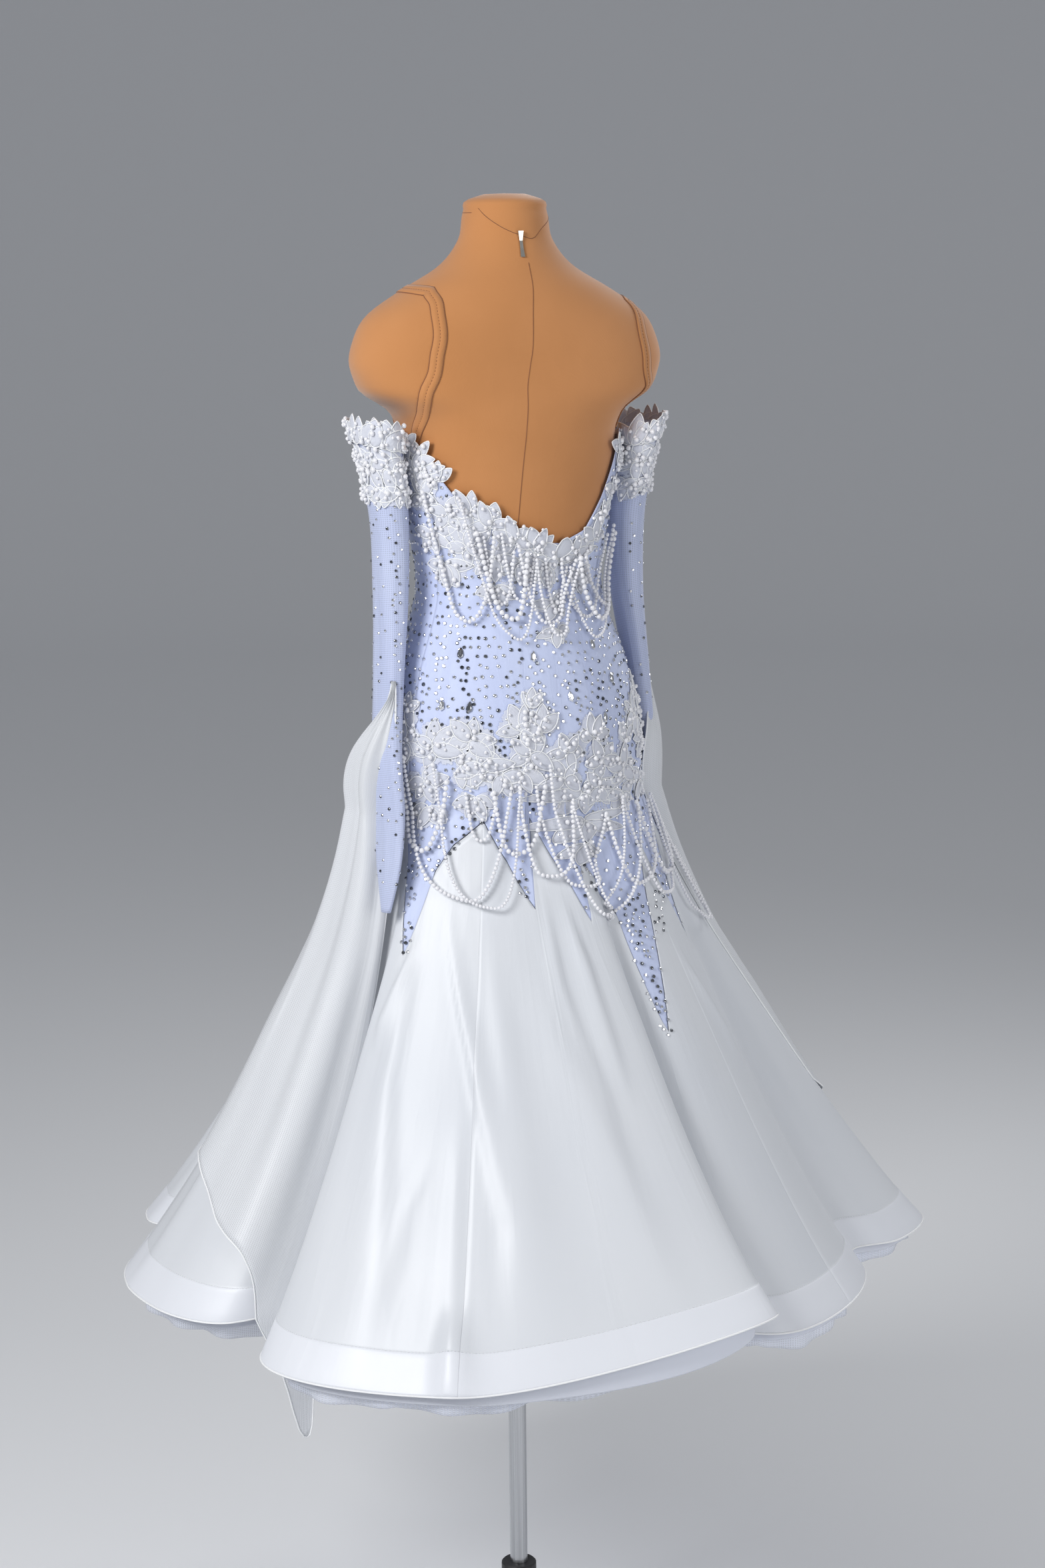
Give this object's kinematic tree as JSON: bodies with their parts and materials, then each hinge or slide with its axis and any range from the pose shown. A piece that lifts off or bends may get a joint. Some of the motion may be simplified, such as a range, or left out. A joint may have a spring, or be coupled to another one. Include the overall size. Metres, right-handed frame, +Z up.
{
  "type": "ballroom dance dress on a dress form",
  "caption": "Lilac and white ballroom dance dress with lace, pearl loops, loose sleeves with floats and a full godet skirt, standing on a limbless dress form.",
  "frame": {"origin": "centre of the base plate's underside, on the floor", "axes": "+Z up, the wearer's front faces -Y, +X is the wearer's left"},
  "size_m": [1.0836, 1.0311, 1.98],
  "materials": {
    "base_black": "black powder coat, guessed",
    "hub_black": "black",
    "pole_steel": "brushed tube",
    "slider_steel": "polished zip slider",
    "pearls": "pearl lustre",
    "bodice": "lilac two-way stretch knit, low sheen",
    "skirt_satin": "white satin with a soft sheen, horsehair in the hem",
    "underskirt_satin": "white satin lining layer",
    "petticoat_net": "pale blue stiff net",
    "sleeve_net": "lilac stretch net, stoned",
    "float_organza": "white sheer organza, rolled edge",
    "lace": "white corded lace",
    "form_cover": "tan jersey cover"
  },
  "bodies": {
    "root": {"base_plate": "base_black", "hub_collar": "hub_black", "pole": "pole_steel", "dress_form": "form_cover", "zip_slider": "slider_steel", "bodice_side_left": "bodice", "bodice_back": "bodice", "bodice_side_right": "bodice", "bodice_front": "bodice", "skirt_panel_1": "skirt_satin", "skirt_panel_2": "skirt_satin", "skirt_panel_3": "skirt_satin", "skirt_panel_4": "skirt_satin", "skirt_panel_5": "skirt_satin", "skirt_panel_6": "skirt_satin", "skirt_panel_7": "skirt_satin", "skirt_panel_8": "skirt_satin", "underskirt": "underskirt_satin", "petticoat_net": "petticoat_net", "sleeve_left": "sleeve_net", "sleeve_right": "sleeve_net", "sleeve_lace_left": "lace", "sleeve_lace_right": "lace", "float_left": "float_organza", "float_right": "float_organza", "neckline_lace_back": "lace", "neckline_lace_front": "lace", "hip_lace_back": "lace", "hip_lace_front": "lace", "pearl_swags_back": "pearls", "pearl_swags_hip": "pearls"}
  },
  "joints": []
}
